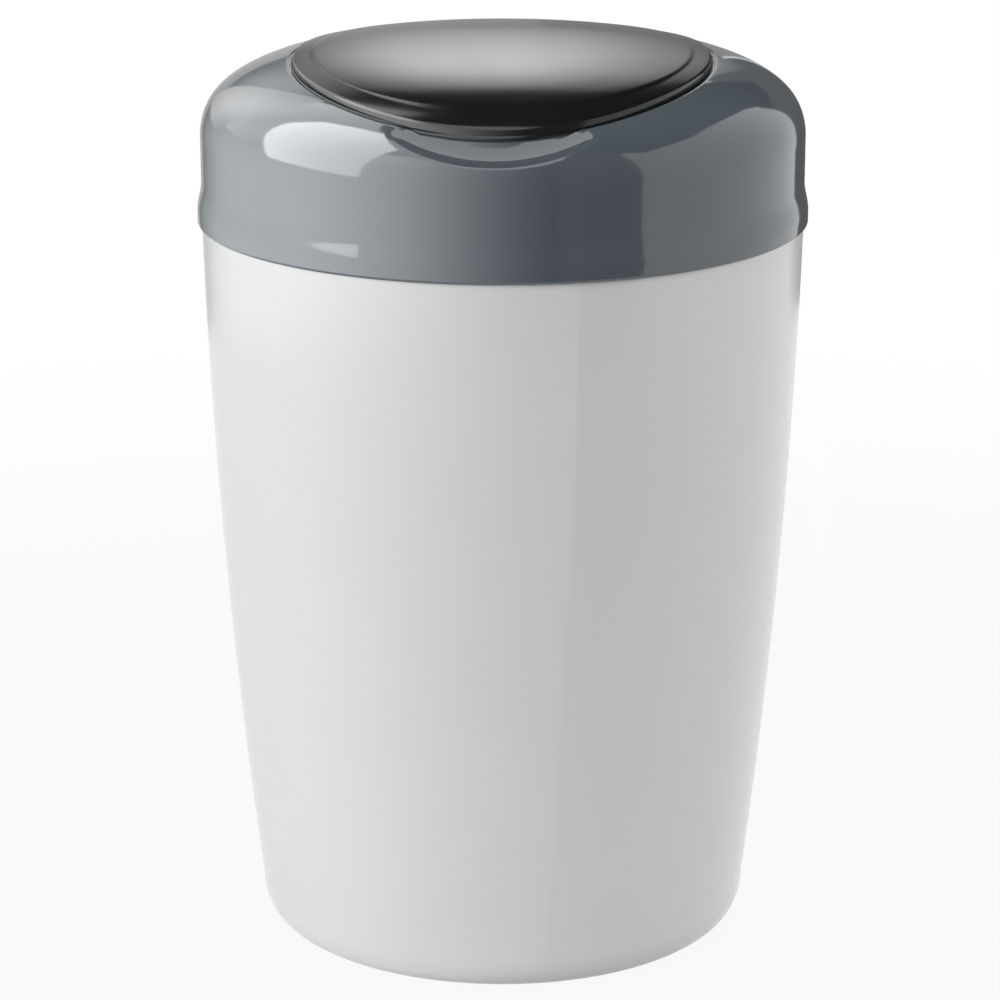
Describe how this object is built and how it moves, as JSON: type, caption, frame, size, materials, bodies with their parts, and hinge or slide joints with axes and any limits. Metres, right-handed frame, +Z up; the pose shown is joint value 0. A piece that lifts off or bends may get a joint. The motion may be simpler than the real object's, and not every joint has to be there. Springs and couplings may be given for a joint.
{
  "type": "nappy bin",
  "caption": "Round tapered bin with a lift-off domed lid, a rear-hinged oval flap, a twist ring over a film cassette, a film cutter and sprung fingers that close the passage.",
  "frame": {"origin": "centre of the standing ring, on the floor and on the tub's axis", "axes": "+Z up along the tub's axis, -Y towards the front with the finger scoop, +Y towards the flap's hinge, +X to the right seen from the front"},
  "size_m": [0.2586, 0.2586, 0.3892],
  "materials": {
    "tub_plastic": "glossy moulded white",
    "lid_plastic": "glossy moulded blue-grey",
    "flap_plastic": "satin black",
    "frame_plastic": "fine matt moulded off-white",
    "liner_plastic": "matt moulded grey",
    "ring_plastic": "satin teal",
    "seal_rubber": "soft matt black",
    "film": "folded thin film, milky",
    "steel": "plain zinc-plated or bare steel"
  },
  "bodies": {
    "tub": {"tub": "tub_plastic"},
    "lid": {"lid_cover": "lid_plastic", "lid_frame": "frame_plastic", "frame_screw_1": "steel", "frame_screw_2": "steel", "frame_screw_3": "steel", "frame_screw_4": "steel", "frame_screw_5": "steel", "frame_screw_6": "steel", "hinge_pin": "steel", "grip_ring": "liner_plastic"},
    "flap": {"flap_cover": "flap_plastic", "flap_liner": "liner_plastic", "flap_seal": "seal_rubber", "flap_screw_1": "steel", "flap_screw_2": "steel", "flap_screw_3": "steel", "flap_screw_4": "steel"},
    "twist_unit": {"twist_ring": "ring_plastic", "cassette_body": "frame_plastic", "cassette_cap": "ring_plastic", "film_pack": "film"},
    "cutter": {"cutter_knob": "flap_plastic", "cutter_blade": "steel"},
    "finger_1": {"grip_finger_1": "frame_plastic"},
    "finger_2": {"grip_finger_2": "frame_plastic"},
    "finger_3": {"grip_finger_3": "frame_plastic"},
    "finger_4": {"grip_finger_4": "frame_plastic"},
    "finger_5": {"grip_finger_5": "frame_plastic"},
    "finger_6": {"grip_finger_6": "frame_plastic"}
  },
  "joints": [
    {"name": "lid_lift", "type": "slide", "parent": "tub", "child": "lid", "axis": [0, 0, 1], "range_m": [0, 0.13]},
    {"name": "flap_hinge", "type": "hinge", "parent": "lid", "child": "flap", "pos_m": [0, 0.104, 0.3702], "axis": [-1, 0, 0], "range_deg": [0, 95]},
    {"name": "twist_turn", "type": "hinge", "parent": "lid", "child": "twist_unit", "pos_m": [0, 0, 0.3413], "axis": [0, 0, 1], "continuous": true},
    {"name": "cutter_press", "type": "slide", "parent": "twist_unit", "child": "cutter", "axis": [-0.5, 0.866, 0], "range_m": [0, 0.004]},
    {"name": "finger_1_bend", "type": "hinge", "parent": "lid", "child": "finger_1", "pos_m": [0.0575, 0, 0.2687], "axis": [0, -1, 0], "range_deg": [0, 65], "stiffness_Nm_per_rad": 0.05, "springref_deg": -11.46},
    {"name": "finger_2_bend", "type": "hinge", "parent": "lid", "child": "finger_2", "pos_m": [0.02875, 0.0498, 0.2687], "axis": [0.866, -0.5, 0], "range_deg": [0, 65], "stiffness_Nm_per_rad": 0.05, "springref_deg": -11.46},
    {"name": "finger_3_bend", "type": "hinge", "parent": "lid", "child": "finger_3", "pos_m": [-0.02875, 0.0498, 0.2687], "axis": [0.866, 0.5, 0], "range_deg": [0, 65], "stiffness_Nm_per_rad": 0.05, "springref_deg": -11.46},
    {"name": "finger_4_bend", "type": "hinge", "parent": "lid", "child": "finger_4", "pos_m": [-0.0575, 0, 0.2687], "axis": [0, 1, 0], "range_deg": [0, 65], "stiffness_Nm_per_rad": 0.05, "springref_deg": -11.46},
    {"name": "finger_5_bend", "type": "hinge", "parent": "lid", "child": "finger_5", "pos_m": [-0.02875, -0.0498, 0.2687], "axis": [-0.866, 0.5, 0], "range_deg": [0, 65], "stiffness_Nm_per_rad": 0.05, "springref_deg": -11.46},
    {"name": "finger_6_bend", "type": "hinge", "parent": "lid", "child": "finger_6", "pos_m": [0.02875, -0.0498, 0.2687], "axis": [-0.866, -0.5, 0], "range_deg": [0, 65], "stiffness_Nm_per_rad": 0.05, "springref_deg": -11.46}
  ]
}
